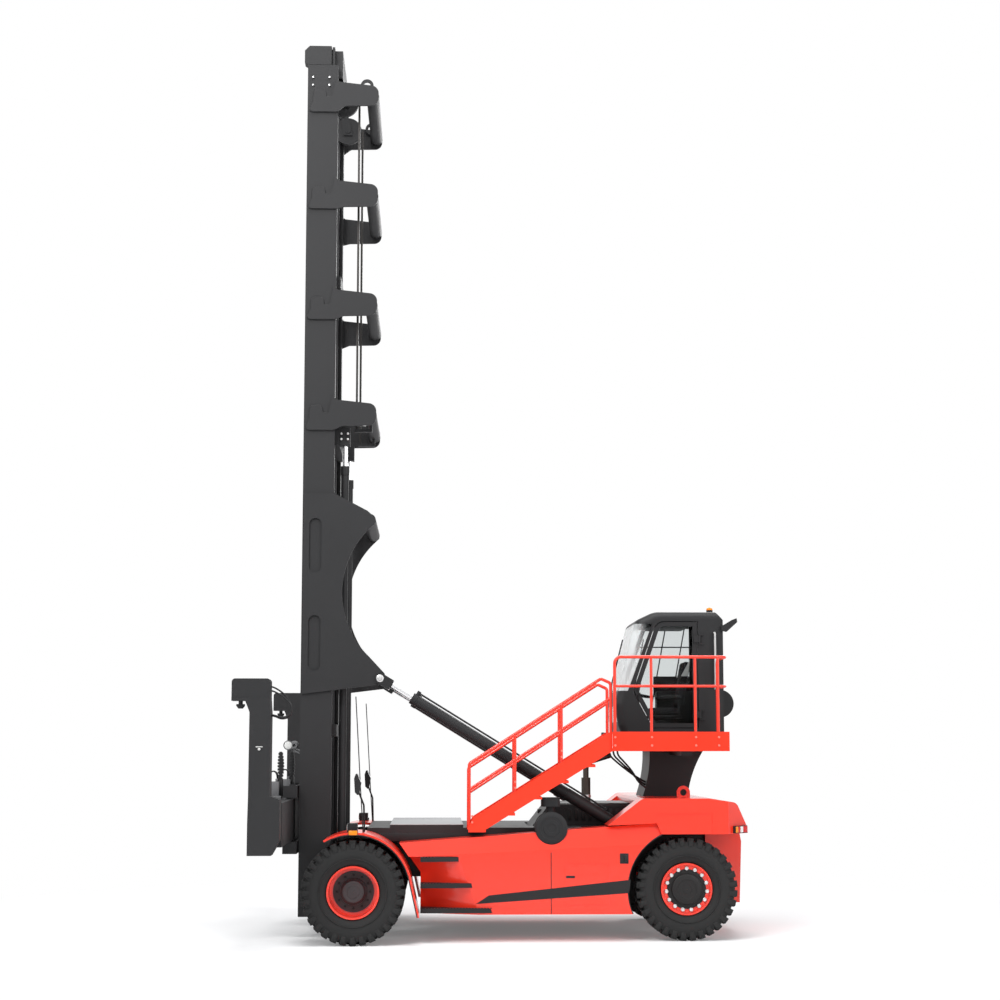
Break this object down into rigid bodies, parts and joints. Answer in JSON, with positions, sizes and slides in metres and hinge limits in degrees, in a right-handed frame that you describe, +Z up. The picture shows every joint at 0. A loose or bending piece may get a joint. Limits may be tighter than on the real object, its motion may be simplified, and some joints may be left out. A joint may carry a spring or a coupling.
{
  "type": "empty container handler",
  "caption": "Empty container handler with a tall two-stage mast, a side-lift spreader with twistlocks, a raised cab over the tail and twin drive wheels.",
  "frame": {"origin": "floor level under the middle of the machine's bounding box", "axes": "+X forward, towards the mast and spreader; +Y to the driver's left; +Z up"},
  "size_m": [6.782, 6.06, 12.4799],
  "materials": {
    "red_paint": "satin",
    "mast_grey": "satin",
    "black_paint": "satin",
    "deck_grey": "satin",
    "tyre_rubber": "matte",
    "rod_chrome": "polished",
    "chain_steel": "satin",
    "window_glass": "clear",
    "seat_cloth": "woven",
    "black_plastic": "matte",
    "lamp_lens": "gloss",
    "exhaust_steel": "brushed"
  },
  "bodies": {
    "chassis": {"chassis_frame": "black_paint", "drive_axle": "black_paint", "steer_axle": "black_paint", "engine_block": "black_paint", "counterweight": "red_paint", "side_panel_left": "red_paint", "side_panel_right": "red_paint", "arch_liners": "black_plastic", "front_fenders": "red_paint", "boarding_steps": "black_paint", "deck_cover": "deck_grey", "engine_hood": "black_paint", "air_cleaner": "black_plastic", "exhaust_stack": "exhaust_steel", "cab_pedestal": "black_paint", "platform": "red_paint", "platform_rails": "red_paint", "access_stairs": "red_paint", "stair_rails": "red_paint", "cab_shell": "black_paint", "cab_glass": "window_glass", "operator_seat": "seat_cloth", "steering_column": "black_plastic", "lamps": "lamp_lens", "mirrors": "black_plastic"},
    "outer_mast": {"outer_upright_left": "mast_grey", "outer_upright_right": "mast_grey", "arm_plates_left": "mast_grey", "arm_plates_right": "mast_grey", "cross_tubes": "mast_grey", "lift_barrels": "black_paint"},
    "inner_mast": {"inner_upright_left": "mast_grey", "inner_upright_right": "mast_grey", "inner_members": "mast_grey", "lift_rods": "rod_chrome", "chain_front": "chain_steel", "chain_rear": "chain_steel"},
    "carriage_frame": {"carriage": "mast_grey"},
    "spreader": {"spreader_frame": "mast_grey"},
    "door": {"cab_door": "black_paint", "door_glass": "window_glass"},
    "drive_wheel_left": {"drive_tyres_left": "tyre_rubber", "drive_rims_left": "red_paint"},
    "steer_knuckle_left": {"knuckle_left": "black_paint"},
    "steer_wheel_left": {"steer_tyre_left": "tyre_rubber", "steer_rim_left": "red_paint"},
    "tilt_cylinder_left": {"tilt_barrel_left": "black_paint"},
    "tilt_piston_left": {"tilt_rod_left": "rod_chrome"},
    "spreader_end_left": {"telescope_left": "mast_grey"},
    "lock_left": {"twistlock_left": "black_paint"},
    "drive_wheel_right": {"drive_tyres_right": "tyre_rubber", "drive_rims_right": "red_paint"},
    "steer_knuckle_right": {"knuckle_right": "black_paint"},
    "steer_wheel_right": {"steer_tyre_right": "tyre_rubber", "steer_rim_right": "red_paint"},
    "tilt_cylinder_right": {"tilt_barrel_right": "black_paint"},
    "tilt_piston_right": {"tilt_rod_right": "rod_chrome"},
    "spreader_end_right": {"telescope_right": "mast_grey"},
    "lock_right": {"twistlock_right": "black_paint"}
  },
  "joints": [
    {"name": "drive_spin_left", "type": "hinge", "parent": "chassis", "child": "drive_wheel_left", "pos_m": [1.909, 1.64, 0.675], "axis": [0, 1, 0], "continuous": true},
    {"name": "steer_left", "type": "hinge", "parent": "chassis", "child": "steer_knuckle_left", "pos_m": [-2.491, 1.25, 0.675], "axis": [0, 0, 1], "range_deg": [-55, 55]},
    {"name": "steer_spin_left", "type": "hinge", "parent": "steer_knuckle_left", "child": "steer_wheel_left", "pos_m": [-2.491, 1.41, 0.675], "axis": [0, 1, 0], "continuous": true},
    {"name": "drive_spin_right", "type": "hinge", "parent": "chassis", "child": "drive_wheel_right", "pos_m": [1.909, -1.64, 0.675], "axis": [0, 1, 0], "continuous": true},
    {"name": "steer_right", "type": "hinge", "parent": "chassis", "child": "steer_knuckle_right", "pos_m": [-2.491, -1.25, 0.675], "axis": [0, 0, 1], "range_deg": [-55, 55]},
    {"name": "steer_spin_right", "type": "hinge", "parent": "steer_knuckle_right", "child": "steer_wheel_right", "pos_m": [-2.491, -1.41, 0.675], "axis": [0, 1, 0], "continuous": true},
    {"name": "mast_tilt", "type": "hinge", "parent": "chassis", "child": "outer_mast", "pos_m": [2.149, 0, 0.85], "axis": [0, 1, 0], "range_deg": [-4, 4]},
    {"name": "tilt_swing_left", "type": "hinge", "parent": "chassis", "child": "tilt_cylinder_left", "pos_m": [-1.701, 0.915, 1.45], "axis": [0, 1, 0], "range_deg": [-1, 1]},
    {"name": "tilt_stroke_left", "type": "slide", "parent": "tilt_cylinder_left", "child": "tilt_piston_left", "axis": [0.8519, 0, 0.5237], "range_m": [-0.18, 0.18]},
    {"name": "tilt_swing_right", "type": "hinge", "parent": "chassis", "child": "tilt_cylinder_right", "pos_m": [-1.701, -0.915, 1.45], "axis": [0, 1, 0], "range_deg": [-1, 1]},
    {"name": "tilt_stroke_right", "type": "slide", "parent": "tilt_cylinder_right", "child": "tilt_piston_right", "axis": [0.8519, 0, 0.5237], "range_m": [-0.18, 0.18]},
    {"name": "mast_lift", "type": "slide", "parent": "outer_mast", "child": "inner_mast", "axis": [0, 0, 1], "range_m": [0, 5.5], "deforming": ["chain_rear"]},
    {"name": "carriage_lift", "type": "slide", "parent": "inner_mast", "child": "carriage_frame", "axis": [0, 0, 1], "range_m": [0, 5.5], "deforming": ["chain_front"]},
    {"name": "side_shift", "type": "slide", "parent": "carriage_frame", "child": "spreader", "axis": [0, 1, 0], "range_m": [-0.3, 0.3]},
    {"name": "telescope_left", "type": "slide", "parent": "spreader", "child": "spreader_end_left", "axis": [0, 1, 0], "range_m": [0, 3.066]},
    {"name": "telescope_right", "type": "slide", "parent": "spreader", "child": "spreader_end_right", "axis": [0, -1, 0], "range_m": [0, 3.066]},
    {"name": "twistlock_left", "type": "hinge", "parent": "spreader_end_left", "child": "lock_left", "pos_m": [3.285, 2.9265, 3.1], "axis": [0, 0, 1], "range_deg": [0, 90]},
    {"name": "twistlock_right", "type": "hinge", "parent": "spreader_end_right", "child": "lock_right", "pos_m": [3.285, -2.9265, 3.1], "axis": [0, 0, 1], "range_deg": [0, 90]},
    {"name": "cab_door", "type": "hinge", "parent": "chassis", "child": "door", "pos_m": [-2.831, 0.682, 3.5], "axis": [0, 0, 1], "range_deg": [0, 80]}
  ],
  "couplings": [
    {"joint": "tilt_swing_left", "follows": "mast_tilt", "ratio": 0.23678},
    {"joint": "tilt_stroke_left", "follows": "mast_tilt", "m_per_rad": 2.5275},
    {"joint": "tilt_swing_right", "follows": "mast_tilt", "ratio": 0.23678},
    {"joint": "tilt_stroke_right", "follows": "mast_tilt", "m_per_rad": 2.5275},
    {"joint": "carriage_lift", "follows": "mast_lift", "ratio": 1},
    {"joint": "telescope_right", "follows": "telescope_left", "ratio": 1},
    {"joint": "twistlock_right", "follows": "twistlock_left", "ratio": 1},
    {"joint": "steer_right", "follows": "steer_left", "ratio": 1}
  ]
}
